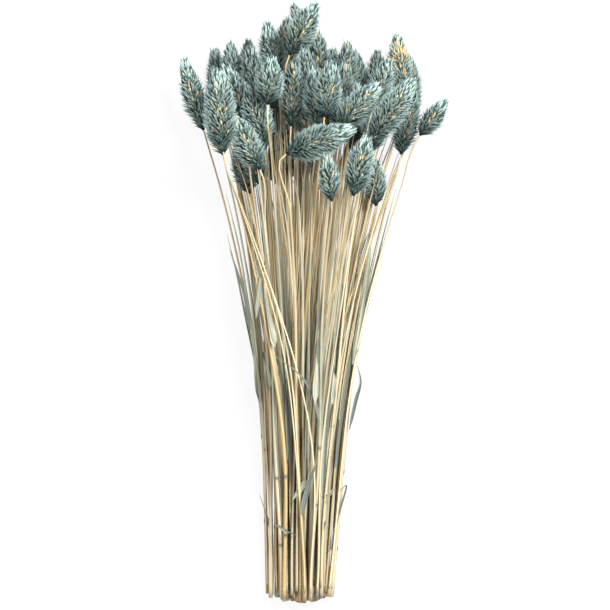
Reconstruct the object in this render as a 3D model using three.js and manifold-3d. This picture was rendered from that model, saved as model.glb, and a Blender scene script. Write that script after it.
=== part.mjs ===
// A bunch of dried canary grass, its seed heads dyed a dusty blue green, lying on a table as cut.
// Millimetres: X runs across the bunch, Y along it from the cut ends to the heads, Z up from the table.
import * as THREE from "three";
import Module from "manifold-3d";

const wasm = await Module();
wasm.setup();

// Stem sizes
const BUTT_RADIUS = 1.6;
const NECK_RADIUS = 0.75;
const STEM_SIDES = 5;
const STEM_STATIONS = [0, 0.2, 0.4, 0.6, 0.78, 0.92, 1];
// A stem lies on a flat side, this share of its radius below its axis
const FLAT_DOWN = Math.cos(Math.PI / STEM_SIDES);

// Bundle sizes: the stems lie in layers, one on the other, and the cut ends are rounded off towards the sides
const LAYER_PITCH = 4.1;
const BUNDLE_SHIFT = -1.5;
const LONGEST_END = -2.2;
const END_ROUNDING = 5.5;
const END_SCATTER = 3;
const CORE_RADIUS = 0.7;
const CORE_SINK = 0.35;
const CORE_SIDES = 3;
const CORE_AT = 62;

// How a stem leaves the bundle, as shares of its own slant, and the top share of it that turns into the head
const MEAN_LEAN = 0.15;
const LEAN_TO_THE_RIGHT = 0.33;
const BOW_POWER = 2.3;
const HEIGHT_LEAN = 0.85;
const NECK_SHARE = 0.12;

// Seed heads: valleys between the scales as a share of the outside, and how far a tip passes the next root
const VALLEY_SHARE = 0.72;
const TIP_OVERHANG = 0.45;
const HEAD_BASE_RADIUS = 1.25;
const TUFT_HEIGHT = 0.965;
const TUFT_SPREAD = 0.22;
const HEAD_FULLNESS = 1.07;
const BIG_HEAD_WIDTH = 21;
const LONG_HEAD = 44;
const FLOOR_PRESS = 1.3; // a head on the table is pressed flat by this much
const RISE_PER_LAYER = 0.035;

// Leaf sheaths, which wrap the stems part of the way up, and leaf blades
const SHEATH_THICKNESS = 0.5;
const SHEATH_REACH = 0.17;
const BLADE_THICKNESS = 0.7;
const BLADE_TIP_WIDTH = 0.8;
const STRIP_STEPS = 4;
const STRIP_REACH = 0.4;
const STRIP_LEAN = 0.05;
const STRIP_SWAY = 0.5;
const STRIP_WIDTH = 3.8;
const BLADE_LIFT = 0.9;
const ROOT_REACH = 7;
const DRAPE_SAMPLES = 12;
const DRAPE_ROUNDS = 40;

const GAP = 0.35; // left between touching pieces

const STRAW = new THREE.MeshStandardMaterial({ color: 0xd9c49a, roughness: 0.75, metalness: 0 });
const DUSTY_BLUE = new THREE.MeshStandardMaterial({ color: 0x7c8e88, roughness: 0.9, metalness: 0 });

// The layers from the table up, each with the width of its cut ends and its stalks from left to right.
// A stalk is [head base x, head base y, head tip x, head tip y, head width].
const LAYERS = [
  {
    width: 50,
    stalks: [
      [-58, 355, -67, 403, 20],
      [-60, 369, -67, 418, 19],
      [-38, 376, -42, 424, 17],
      [-14, 394, -12, 440, 20],
      [7, 414, -7, 451, 14],
      [-4, 352, -6, 396, 17],
      [25, 375, 23, 418, 18],
      [46, 369, 39, 415, 20],
      [56, 372, 56, 416, 17],
      [82, 365, 80, 412, 18],
    ],
  },
  {
    width: 54,
    stalks: [
      [-75, 356, -90, 409, 18],
      [-49, 375, -55, 421, 18],
      [-40, 308, -49, 346, 18],
      [-19, 390, -27, 436, 21],
      [-10, 324, -13, 360, 18],
      [4, 338, 3, 380, 17],
      [14, 382, 11, 430, 18],
      [31, 378, 34, 421, 18],
      [51, 339, 58, 379, 20],
      [75, 379, 71, 428, 18],
    ],
  },
  {
    width: 53,
    stalks: [
      [-60, 337, -70, 387, 18],
      [-33, 315, -40, 354, 18],
      [-34, 370, -40, 417, 18],
      [-10, 412, 10, 450, 22],
      [4, 364, 1, 415, 18],
      [10, 319, 12, 354, 18],
      [26, 367, 32, 406, 18],
      [52, 370, 64, 407, 20],
      [74, 338, 82, 388, 20],
    ],
  },
  {
    width: 49,
    stalks: [
      [-45, 364, -58, 401, 22],
      [-28, 340, -40, 388, 22],
      [-9, 358, -6, 406, 18],
      [10, 357, 8, 399, 18],
      [33, 346, 25, 376, 17],
      [35, 354, 41, 389, 18],
      [55, 299, 54, 333, 17],
      [88, 352, 107, 377, 16],
    ],
  },
  {
    width: 40,
    stalks: [
      [-32, 325, -52, 363, 21],
      [-26, 373, -23, 406, 21],
      [16, 364, 21, 403, 20],
      [26, 355, 56, 387, 22],
      [37, 305, 47, 348, 20],
      [49, 344, 81, 390, 22],
    ],
  },
  {
    width: 30,
    stalks: [
      [-59, 338, -63, 397, 24],
      [-12, 336, 36, 354, 25],
      [21, 301, 18, 333, 14],
    ],
  },
];

// Leaf blades that lie on top of the bunch, each a width and its line from root to tip as [x, y] points
const TOP_LEAVES = [
  { width: 2.8, line: [[-40, 205], [-44, 230], [-50, 250], [-56, 268]] },
  { width: 1.8, line: [[46, 214], [51, 236], [55.5, 251]] },
  { width: 4.2, line: [[37.5, 179], [44, 220], [49, 255], [52, 284]] },
  { width: 2.2, line: [[35, 130], [40, 152], [43.5, 166], [41, 179]] },
  { width: 1.8, line: [[12.8, 134], [7.5, 157], [-4.5, 174], [-23, 187.5]] },
  { width: 2.4, line: [[-35, 214], [-31, 246], [-26, 262]] },
  { width: 1.4, line: [[43, 262], [46, 270], [49.5, 279]] },
  { width: 3.2, line: [[-1, 66], [4, 88], [10.5, 107]] },
  { width: 2.6, line: [[3, 92], [-3, 84], [-8, 77]] },
  { width: 3.2, line: [[11, 77], [19.5, 81], [24, 87]] },
  { width: 1.8, line: [[21, 39], [26, 62], [33, 87], [26, 81]] },
  { width: 3.4, line: [[11, 46], [14, 54], [18, 63]] },
  { width: 1.4, line: [[-23.5, 46], [-27, 63], [-33, 81]] },
  { width: 1.8, line: [[-20, 58.5], [-12.8, 54], [-4.5, 50]] },
  { width: 4.6, line: [[-21, 193], [-25, 212], [-29, 240]] },
];

// A repeatable draw from 0 to 1 for each whole number
function draw(n) {
  const s = Math.sin(n * 12.9898 + 4.1414) * 43758.5453;
  return s - Math.floor(s);
}

// The outside of a head as a share of its half width, from base to tip: an egg, fullest below the middle
function headOutline(u) {
  return Math.pow(Math.sin(Math.PI * Math.pow(u, 0.8)), 0.5);
}

// One stalk: where its stem is cut, and where its head starts and points
function makeStalk(layer, place, width, count, [baseX, baseY, tipX, tipY, headWidth]) {
  const across = (place + 0.5) / count - 0.5;
  const number = layer * 20 + place;
  const cut = new THREE.Vector3(
    BUNDLE_SHIFT + across * width + (draw(number) - 0.5),
    LONGEST_END + END_ROUNDING * 4 * across * across + END_SCATTER * draw(number + 0.5),
    BUTT_RADIUS * FLAT_DOWN + layer * LAYER_PITCH,
  );
  const reach = new THREE.Vector2(tipX - baseX, tipY - baseY).length();
  const rise = layer * RISE_PER_LAYER * reach;
  const axis = new THREE.Vector3(tipX - baseX, tipY - baseY, rise);
  const headLength = axis.length();
  return {
    layer,
    place,
    number,
    lean: MEAN_LEAN + LEAN_TO_THE_RIGHT * across,
    cut,
    base: new THREE.Vector3(baseX, baseY, 0),
    axis: axis.normalize(),
    headLength,
    headWidth: headWidth * HEAD_FULLNESS,
  };
}

// The stem's line: nearly straight at first, bowing outwards on the way up, then turning into the head
class StemCurve extends THREE.Curve {
  constructor({ cut, base, axis, lean }) {
    super();
    this.cut = cut;
    this.lean = lean;
    this.chord = base.clone().addScaledVector(axis, -GAP).sub(cut);
    const bowed = new THREE.Vector3(this.chord.x * (1 - lean), 0, this.chord.z * (1 - HEIGHT_LEAN));
    const arriving = bowed.multiplyScalar(BOW_POWER - 1).add(this.chord);
    this.turn = axis.clone().multiplyScalar(arriving.length()).sub(arriving);
  }

  getPoint(t) {
    const bow = (lean) => lean * t + (1 - lean) * Math.pow(t, BOW_POWER);
    const neck = Math.max(0, (t - 1 + NECK_SHARE) / NECK_SHARE);
    const [x, z] = [this.chord.x * bow(this.lean), this.chord.z * bow(HEIGHT_LEAN)];
    const line = new THREE.Vector3(x, this.chord.y * t, z);
    return line.add(this.cut).addScaledVector(this.turn, (t - 1) * neck * neck);
  }
}

function stemLine(stalk) {
  const curve = new StemCurve(stalk);
  return STEM_STATIONS.map((t) => curve.getPoint(t));
}

// A stem tapers to its neck and is thicker where the leaf sheath wraps it
function stemRadius(stalk, t) {
  const bare = NECK_RADIUS + (BUTT_RADIUS - NECK_RADIUS) * (1 - t);
  const middle = sheathMiddle(stalk);
  const wrapped = Math.max(0, 1 - Math.abs(t - middle) / SHEATH_REACH);
  return bare + SHEATH_THICKNESS * Math.min(1, 2 * wrapped);
}

function sheathMiddle({ number }) {
  return 0.38 + 0.24 * draw(number + 0.25);
}

// Round beads along a stalk, for telling whether two stalks touch
const STEM_BEADS = 15;
const HEAD_BEADS = 9;
const STRIP_BEADS = 24;
function beadsOf(stalk) {
  const line = stemLine(stalk);
  const beads = [];
  for (let i = 0; i + 1 < line.length; i++) {
    for (let j = 0; j < STEM_BEADS; j++) {
      const t = THREE.MathUtils.lerp(STEM_STATIONS[i], STEM_STATIONS[i + 1], j / STEM_BEADS);
      const radius = stemRadius(stalk, t);
      const at = line[i].clone().lerp(line[i + 1], j / STEM_BEADS);
      beads.push({ at, radius, height: radius, stemOf: stalk.layer });
    }
  }
  for (let i = 1; i <= HEAD_BEADS; i++) {
    const u = i / (HEAD_BEADS + 0.6);
    const at = stalk.base.clone().addScaledVector(stalk.axis, u * stalk.headLength);
    const radius = (stalk.headWidth / 2) * headOutline(u);
    beads.push({ at, radius, height: radius, stemOf: -1 });
  }
  const strip = stripOf(stalk);
  for (let i = 0; i <= STRIP_BEADS; i++) {
    const way = (i / STRIP_BEADS) * STRIP_STEPS;
    const step = Math.min(Math.floor(way), STRIP_STEPS - 1);
    const at = strip.points[step].clone().lerp(strip.points[step + 1], way - step);
    beads.push({ at, radius: strip.width / 2, height: BLADE_THICKNESS / 2, stemOf: stalk.layer, flat: true });
  }
  return beads;
}

// Every stalk keeps a long leaf beside its stem, from inside the sheath, leaning a little to one side
function stripOf(stalk) {
  const curve = new StemCurve(stalk);
  const from = sheathMiddle(stalk) - SHEATH_REACH / 2;
  const reach = STRIP_REACH * (0.7 + 0.6 * draw(stalk.number + 0.75));
  const lean = STRIP_LEAN * (2 * draw(stalk.number + 0.9) - 1);
  const root = curve.getPoint(from);
  const points = [];
  for (let i = 0; i <= STRIP_STEPS; i++) {
    const at = curve.getPoint(from + (reach * i) / STRIP_STEPS);
    at.x += lean * (at.y - root.y) + STRIP_SWAY * Math.sin(1.7 * i + stalk.number);
    points.push(at);
  }
  return { layer: stalk.layer, points, width: STRIP_WIDTH * (0.75 + 0.5 * draw(stalk.number + 0.6)) };
}

// How far a laid-down bead pushes a new one up; stems of one layer are pressed together and may touch
function pushUp(bead, under) {
  if (bead.stemOf === under.stemOf && bead.stemOf >= 0) return 0;
  const reach = bead.radius + under.radius + GAP;
  const apart = Math.hypot(bead.at.x - under.at.x, bead.at.y - under.at.y) / reach;
  if (apart >= 1) return 0;
  const round = bead.flat || under.flat ? 1 : Math.sqrt(1 - apart * apart);
  return under.at.z + (bead.height + under.height + GAP) * round - bead.at.z;
}

// Stalks are laid from the table up: each head is raised until its stalk clears those already down
function layDown(stalks) {
  const down = [];
  for (const stalk of stalks) {
    stalk.base.z = -lowestOfHead(stalk) - FLOOR_PRESS;
    let beads = beadsOf(stalk);
    for (;;) {
      let push = 0;
      for (const bead of beads) {
        for (const under of down) push = Math.max(push, pushUp(bead, under));
      }
      if (push <= 0.01) break;
      stalk.base.z += Math.max(0.2, push);
      beads = beadsOf(stalk);
    }
    down.push(...beads.map((bead) => ({ ...bead, stalk })));
  }
  return down;
}

const stalks = LAYERS.flatMap(({ width, stalks: rows }, layer) =>
  rows.map((row, place) => makeStalk(layer, place, width, rows.length, row)),
);
const laid = layDown([...stalks].sort((a, b) => a.layer - b.layer || b.base.y - a.base.y));

// A leaf on top lies over all that is along its line, and grows from the near stem that leaves it lowest
function drape({ width, line }) {
  const [rootX, rootY] = line[0];
  const tries = stalks
    .filter((stalk) => Math.abs(crossing(new StemCurve(stalk), rootY).x - rootX) < ROOT_REACH)
    .map((stalk) => ({ layer: stalk.layer, points: drapeFrom(stalk, width, line), width }));
  const steepness = ({ points }) => Math.max(...points.map((at) => at.z)) - 1.01 * points[0].z;
  const leaf = tries.sort((a, b) => steepness(a) - steepness(b))[0];
  for (let i = 0; i + 1 < leaf.points.length; i++) {
    for (let j = 0; j < DRAPE_SAMPLES; j++) {
      const at = leaf.points[i].clone().lerp(leaf.points[i + 1], j / DRAPE_SAMPLES);
      laid.push({ at, radius: width / 2, height: BLADE_THICKNESS / 2, stemOf: leaf.layer, stalk: null });
    }
  }
  return leaf;
}

function drapeFrom(stalk, width, line) {
  const curve = new StemCurve(stalk);
  const points = line.map(([x, y], i) => {
    const at = crossing(curve, y);
    return i ? new THREE.Vector3(x, y, at.z + BLADE_LIFT * i) : at;
  });
  const others = laid.filter((bead) => bead.stalk !== stalk || bead.stemOf < 0);
  for (let round = 0; round < DRAPE_ROUNDS; round++) {
    for (let i = 0; i + 1 < points.length; i++) {
      for (let j = 1; j <= DRAPE_SAMPLES; j++) {
        const share = j / DRAPE_SAMPLES;
        const spot = points[i].clone().lerp(points[i + 1], share);
        const short = clearHeight(spot, width / 2, others) - spot.z;
        if (short <= 0) continue;
        points[i + 1].z += short;
        if (i > 0) points[i].z += short * (1 - share);
      }
    }
  }
  return points;
}

// The height at which a blade clears all that lies under a spot of its line
function clearHeight(spot, half, others) {
  let height = -Infinity;
  for (const { at, radius, height: thick } of others) {
    const apart = Math.hypot(at.x - spot.x, at.y - spot.y);
    if (apart < radius + half + GAP) height = Math.max(height, at.z + thick + BLADE_THICKNESS / 2 + GAP);
  }
  return height;
}

const leaves = [
  ...stalks.map(stripOf),
  ...TOP_LEAVES.map(drape),
];

// A closed mesh from its points and triangles
function meshGeometry(points, triangles) {
  const geometry = new THREE.BufferGeometry().setFromPoints(points);
  return geometry.setIndex(triangles.flat());
}

// A tube through rings of equal count, closed by a fan at each end; one side may be split the other way
function loft(rings, turnedSide = -1) {
  const sides = rings[0].length;
  const last = (rings.length - 1) * sides;
  const triangles = [];
  for (let i = 0; i + 1 < rings.length; i++) {
    for (let j = 0; j < sides; j++) {
      const [a, b] = [i * sides + j, i * sides + ((j + 1) % sides)];
      if (j === turnedSide) triangles.push([a, b, a + sides], [b, b + sides, a + sides]);
      else triangles.push([a, b, b + sides], [a, b + sides, a + sides]);
    }
  }
  for (let j = 1; j + 1 < sides; j++) {
    triangles.push([0, j + 1, j], [last, last + j, last + j + 1]);
  }
  return meshGeometry(rings.flat(), triangles);
}

// A stem: a tapered five-sided tube with a flat side down
function stemGeometry(stalk) {
  const curve = new StemCurve(stalk);
  const up = new THREE.Vector3(0, 0, 1);
  const rings = [];
  for (const t of STEM_STATIONS) {
    const along = curve.getTangent(t);
    const side = along.clone().cross(up).normalize();
    const over = side.clone().cross(along);
    const ring = [];
    for (let j = 0; j < STEM_SIDES; j++) {
      const angle = Math.PI / 2 - (2 * Math.PI * j) / STEM_SIDES;
      const point = curve.getPoint(t);
      point.addScaledVector(side, stemRadius(stalk, t) * Math.cos(angle));
      ring.push(point.addScaledVector(over, stemRadius(stalk, t) * Math.sin(angle)));
    }
    rings.push(ring);
  }
  return loft(rings);
}

// A leaf blade along a line of points: a thin strip, level across, narrowing to its tip
function bladeGeometry({ points, width }) {
  const last = points.length - 1;
  const rings = points.map((at, i) => {
    const along = points[Math.min(i + 1, last)].clone().sub(points[Math.max(i - 1, 0)]);
    const side = new THREE.Vector3(along.y, -along.x, 0).normalize();
    const share = i / last;
    const half = (width + (BLADE_TIP_WIDTH - width) * share * share) / 2;
    const corner = (across, up) => {
      const rise = new THREE.Vector3(0, 0, (up * BLADE_THICKNESS) / 2);
      return at.clone().addScaledVector(side, across * half).add(rise);
    };
    return [corner(-1, 1), corner(1, 1), corner(1, -1), corner(-1, -1)];
  });
  return loft(rings, 2);
}

// A seed head along +Z from the origin: a diamond net of scale roots, each raised to a tip that leans out
function headGeometry({ headLength, headWidth, number }) {
  const around = headWidth > BIG_HEAD_WIDTH ? 7 : 6;
  const rows = headLength > LONG_HEAD ? 7 : 6;
  const half = headWidth / 2;
  const polar = (radius, turn, height) => {
    const angle = (2 * Math.PI * turn) / around + number;
    return new THREE.Vector3(radius * Math.cos(angle), radius * Math.sin(angle), height);
  };
  const share = (row) => row / (rows + 1);
  const points = [];
  for (let row = 0; row <= rows; row++) {
    const radius = row ? VALLEY_SHARE * half * headOutline(share(row)) : HEAD_BASE_RADIUS;
    for (let j = 0; j < around; j++) {
      points.push(polar(radius, j + (row % 2) / 2, share(row) * headLength));
    }
  }
  const root = (row, j) => row * around + ((j + around) % around);
  const peak = points.push(polar(0, 0, headLength)) - 1;
  const triangles = [];
  for (let j = 0; j < around; j++) {
    triangles.push([root(0, j), root(0, j + 1), root(1, j)]);
    if (j > 0 && j + 1 < around) triangles.push([root(0, 0), root(0, j + 1), root(0, j)]);
  }
  for (let row = 1; row <= rows; row++) {
    for (let j = 0; j < around; j++) {
      const odd = row % 2;
      const tuft = row === rows;
      const height = tuft ? TUFT_HEIGHT : share(row + 1 + TIP_OVERHANG);
      const radius = half * Math.max(headOutline(Math.min(height, TUFT_HEIGHT)), TUFT_SPREAD);
      const tip = points.push(polar(radius, j + 0.5 + odd / 2, height * headLength)) - 1;
      const [left, right] = [root(row, j), root(row, j + 1)];
      const under = root(row - 1, j + odd);
      const over = tuft ? peak : root(row + 1, j + odd);
      triangles.push([under, right, tip], [right, over, tip], [over, left, tip], [left, under, tip]);
    }
  }
  return meshGeometry(points, triangles);
}

// A head's turn from upright to its own axis, and its lowest point below its base
function headTurn({ axis }) {
  return new THREE.Quaternion().setFromUnitVectors(new THREE.Vector3(0, 0, 1), axis);
}

function lowestOfHead(stalk) {
  const turned = headGeometry(stalk).applyQuaternion(headTurn(stalk));
  turned.computeBoundingBox();
  return turned.boundingBox.min.z;
}

// Solids for joining and cutting
function toSolid(geometry) {
  const vertProperties = geometry.attributes.position.array;
  const triVerts = new Uint32Array(geometry.index.array);
  return new wasm.Manifold(new wasm.Mesh({ numProp: 3, vertProperties, triVerts }));
}

function toGeometry(solid) {
  const { vertProperties, triVerts } = solid.getMesh();
  const geometry = new THREE.BufferGeometry();
  geometry.setAttribute("position", new THREE.BufferAttribute(vertProperties, 3));
  return geometry.setIndex(new THREE.BufferAttribute(triVerts, 1));
}

// A head in its place; one that lies on the table is pressed flat there
function headMesh(stalk) {
  const mesh = new THREE.Mesh(headGeometry(stalk), DUSTY_BLUE);
  mesh.name = `head_${stalk.layer + 1}_${String(stalk.place + 1).padStart(2, "0")}`;
  mesh.position.copy(stalk.base);
  mesh.quaternion.copy(headTurn(stalk));
  mesh.updateMatrix();
  if (stalk.base.z + lowestOfHead(stalk) < 0) {
    const table = new THREE.BoxGeometry(2000, 2000, 100).translate(0, 0, -50);
    const inHead = table.applyMatrix4(mesh.matrix.clone().invert());
    mesh.geometry = toGeometry(toSolid(mesh.geometry).subtract(toSolid(welded(inHead))));
  }
  return mesh;
}

// The same shape with the corners of its faces shared
function welded(geometry) {
  const { position } = geometry.attributes;
  const seen = new Map();
  const points = [];
  const index = [];
  for (const i of geometry.index.array) {
    const point = new THREE.Vector3().fromBufferAttribute(position, i);
    const key = point.toArray().map((v) => v.toFixed(4)).join();
    if (!seen.has(key)) seen.set(key, points.push(point) - 1);
    index.push(seen.get(key));
  }
  return new THREE.BufferGeometry().setFromPoints(points).setIndex(index);
}

// The stems of one layer with their leaves, pressed into one sheaf by a slim core between them
function sheafMesh(layer) {
  const own = stalks.filter((stalk) => stalk.layer === layer);
  const rings = own.map((stalk) => {
    const at = crossing(new StemCurve(stalk), CORE_AT);
    at.z -= CORE_SINK;
    return Array.from({ length: CORE_SIDES }, (_, j) => {
      const angle = (2 * Math.PI * j) / CORE_SIDES;
      return new THREE.Vector3(0, CORE_RADIUS * Math.cos(angle), CORE_RADIUS * Math.sin(angle)).add(at);
    });
  });
  let sheaf = toSolid(loft(rings));
  for (const stalk of own) sheaf = sheaf.add(toSolid(stemGeometry(stalk)));
  for (const leaf of leaves.filter((one) => one.layer === layer)) {
    sheaf = sheaf.add(toSolid(bladeGeometry(leaf)));
  }
  const mesh = new THREE.Mesh(toGeometry(sheaf), STRAW);
  mesh.name = `stems_${layer + 1}`;
  return mesh;
}

// Where a stem passes a given distance from the cut ends
function crossing(curve, y) {
  let [low, high] = [0, 1];
  for (let i = 0; i < 30; i++) {
    const middle = (low + high) / 2;
    if (curve.getPoint(middle).y < y) low = middle;
    else high = middle;
  }
  return curve.getPoint(low);
}

const bunch = new THREE.Group();
bunch.name = "bunch";
LAYERS.forEach((_, layer) => {
  const group = new THREE.Group();
  group.add(sheafMesh(layer));
  for (const stalk of stalks.filter((one) => one.layer === layer)) group.add(headMesh(stalk));
  bunch.add(group);
});

// The origin is on the table, under the middle of the bunch's box
bunch.updateMatrixWorld(true);
const box = new THREE.Box3().setFromObject(bunch, true);
const middle = box.getCenter(new THREE.Vector3());
bunch.position.set(-middle.x, -middle.y, -box.min.z);

export default bunch;
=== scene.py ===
"""A bunch of dried canary grass with heads dyed a dusty blue green, lying down and seen from above."""

import logging
from collections.abc import Iterator
from dataclasses import dataclass, field
from enum import Enum
from functools import cached_property

import bpy
import numpy as np
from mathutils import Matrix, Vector


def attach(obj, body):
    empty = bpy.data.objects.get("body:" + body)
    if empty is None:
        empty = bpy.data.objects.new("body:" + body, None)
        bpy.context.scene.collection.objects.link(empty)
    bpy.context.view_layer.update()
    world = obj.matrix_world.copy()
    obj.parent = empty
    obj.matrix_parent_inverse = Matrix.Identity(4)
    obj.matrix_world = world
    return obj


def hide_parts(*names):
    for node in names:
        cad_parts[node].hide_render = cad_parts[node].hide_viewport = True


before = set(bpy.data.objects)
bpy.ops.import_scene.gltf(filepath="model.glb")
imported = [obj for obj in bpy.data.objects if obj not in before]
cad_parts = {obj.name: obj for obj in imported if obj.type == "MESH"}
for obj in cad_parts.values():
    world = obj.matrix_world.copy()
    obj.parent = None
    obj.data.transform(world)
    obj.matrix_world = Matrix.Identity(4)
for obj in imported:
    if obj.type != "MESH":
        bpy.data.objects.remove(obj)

Array = np.ndarray
Socket = bpy.types.NodeSocket
Material = bpy.types.Material
Object = bpy.types.Object
Triple = tuple[float, float, float]
Colour = Triple
Plan = tuple[tuple[float, float], ...]
MM = 0.001
LAYERS = 6
PRESS = 1.2 * MM
GOLDEN_ANGLE = 2.399963
PIXEL = 0.75 * MM
PICTURE = 610
PICTURE_MIDDLE = np.array([1.5, 224.25]) * MM
LANDMARK = "head_6_02"
LANDMARK_BASE = np.array([-12.0, 336.0, 0.0]) * MM
STRAW_TOPPED = "head_2_10"
# Colour factor for heads that others lie over: painted shade.
COVERED_DEPTH = 0.68
CLOSE_BY = 24 * MM
CLEARLY_HIGHER = 8 * MM
NEAR_END = 15 * MM
BASE_RING = 0.5 * MM
RELIEF = 0.2 * MM
RELIEF_STRENGTH = 0.35
LOG = logging.getLogger("bunch")


class Slot(Enum):
    """The record's material slots."""

    HEAD = "dyed_head"
    STRAW = "straw"


class Blend(Enum):
    """How two colours meet."""

    MIX = "MIX"
    TIMES = "MULTIPLY"


class Sum(Enum):
    """What becomes of one or two numbers."""

    TIMES = "MULTIPLY"
    GREATER = "MAXIMUM"
    SINE = "SINE"


def draw(number: Array | float) -> Array:
    """A repeatable draw from 0 to 1 for each number: the fraction left of a large sine."""
    wave = np.sin(np.asarray(number, float) * 12.9898 + 4.1414) * 43758.5453
    return wave - np.floor(wave)


def unit(vectors: Array) -> Array:
    """Vectors of length one along the last axis."""
    return vectors / np.maximum(np.linalg.norm(vectors, axis=-1, keepdims=True), 1e-12)


def smooth(low: float, high: float, value: Array) -> Array:
    """The smooth step from 0 at low to 1 at high."""
    share = np.clip((value - low) / (high - low), 0, 1)
    return share * share * (3 - 2 * share)


def through_points(points: Array, s: Array) -> Array:
    """A smooth line through given points: a cubic between each two, with slopes from their neighbours.

    Args:
        points: The points, in order.
        s: Shares of the way from the first to the last.

    Returns:
        One point for each share.
    """
    count = len(points) - 1
    slope = np.gradient(points, axis=0)
    place = np.clip(s * count, 0, count - 1e-9)
    i = place.astype(int)
    f = (place - i)[:, None]
    rise = f * f * (3 - 2 * f)
    lead = f * (1 - f) ** 2
    trail = f * f * (f - 1)
    return points[i] * (1 - rise) + points[i + 1] * rise + slope[i] * lead + slope[i + 1] * trail


def frames_along(line: Array) -> tuple[Array, Array, Array]:
    """Directions along a line, level across it and up from it.

    Args:
        line: Points of the line, one row each.

    Returns:
        The three directions at each point.
    """
    along = unit(np.gradient(line, axis=0))
    side = unit(np.cross(along, [0.0, 0.0, 1.0]))
    return along, side, np.cross(side, along)


def pressed(points: Array) -> Array:
    """Points pressed on the floor: a height under the press depth is that depth times a falling power."""
    flat = PRESS * np.exp(np.minimum(points[:, 2:] / PRESS - 1, 0))
    return np.hstack([points[:, :2], np.where(points[:, 2:] < PRESS, flat, points[:, 2:])])


def node_points(name: str) -> Array:
    """The separate points of a CAD node, in metres.

    Args:
        name: The node's name.

    Returns:
        Its points, one row each, with doubles left out.
    """
    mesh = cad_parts[name].data
    points = np.empty(len(mesh.vertices) * 3, np.float32)
    mesh.vertices.foreach_get("co", points)
    return np.unique(points.reshape(-1, 3).astype(float).round(6), axis=0)


def ring_walls(rings: int, sides: int) -> Array:
    """Triangles between rings of points that follow each other.

    Args:
        rings: How many rings.
        sides: Points in each ring.

    Returns:
        Two triangles for each side of each gap, one row each.
    """
    ring, side = np.meshgrid(np.arange(rings - 1), np.arange(sides), indexing="ij")
    here = ring * sides + side
    beside = ring * sides + (side + 1) % sides
    return np.stack([here, beside, beside + sides, here, beside + sides, here + sides], -1).reshape(-1, 3)


def tube_triangles(rings: int, sides: int) -> Array:
    """Triangles of a closed tube: walls between rings of points in order, and a fan over each end ring.

    Args:
        rings: Rings in the tube.
        sides: Points in each ring.

    Returns:
        The triangles, one row each.
    """
    fan = np.arange(1, sides - 1)
    foot = np.stack([np.zeros_like(fan), fan + 1, fan], -1)
    return np.concatenate([ring_walls(rings, sides), foot, foot[:, [0, 2, 1]] + (rings - 1) * sides])


@dataclass
class Surface:
    """A surface to be: its points, its triangles, four marks a point for its finish, and its grain."""

    points: Array
    triangles: Array
    marks: Array
    grain: Array

    def piece(self, kind: str, node: str, slot: Slot, soft: bool) -> Object:
        """The surface as a piece that stands for a CAD node.

        Args:
            kind: What it is made of, which its name starts with.
            node: The CAD node it stands for.
            slot: The record's slot of its finish; not used.
            soft: Whether its faces are shaded smoothly.

        Returns:
            The new object, riding on the root body.
        """
        name = f"{kind}_{node}"
        mesh = bpy.data.meshes.new(name)
        mesh.vertices.add(len(self.points))
        mesh.vertices.foreach_set("co", np.ascontiguousarray(pressed(self.points), np.float32).ravel())
        mesh.loops.add(self.triangles.size)
        mesh.loops.foreach_set("vertex_index", np.ascontiguousarray(self.triangles, np.int32).ravel())
        mesh.polygons.add(len(self.triangles))
        mesh.polygons.foreach_set("loop_start", np.arange(0, self.triangles.size, 3, dtype=np.int32))
        marks = mesh.attributes.new("marks", "FLOAT_COLOR", "POINT")
        marks.data.foreach_set("color", np.ascontiguousarray(self.marks, np.float32).ravel())
        grain = mesh.attributes.new("grain", "FLOAT_VECTOR", "POINT")
        grain.data.foreach_set("vector", np.ascontiguousarray(self.grain, np.float32).ravel())
        mesh.update(calc_edges=True)
        mesh.polygons.foreach_set("use_smooth", np.full(len(self.triangles), soft))
        mesh.validate()
        piece = bpy.data.objects.new(name, mesh)
        bpy.context.scene.collection.objects.link(piece)
        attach(piece, "root")
        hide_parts(node)
        LOG.info("%s: %d triangles", name, len(self.triangles))
        return piece


def joined(surfaces: list[Surface]) -> Surface:
    """Several surfaces as one, with all their points and triangles in order."""
    starts = np.cumsum([0] + [len(s.points) for s in surfaces[:-1]])
    return Surface(
        np.concatenate([s.points for s in surfaces]),
        np.concatenate([s.triangles + start for s, start in zip(surfaces, starts)]),
        np.concatenate([s.marks for s in surfaces]),
        np.concatenate([s.grain for s in surfaces]),
    )


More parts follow.
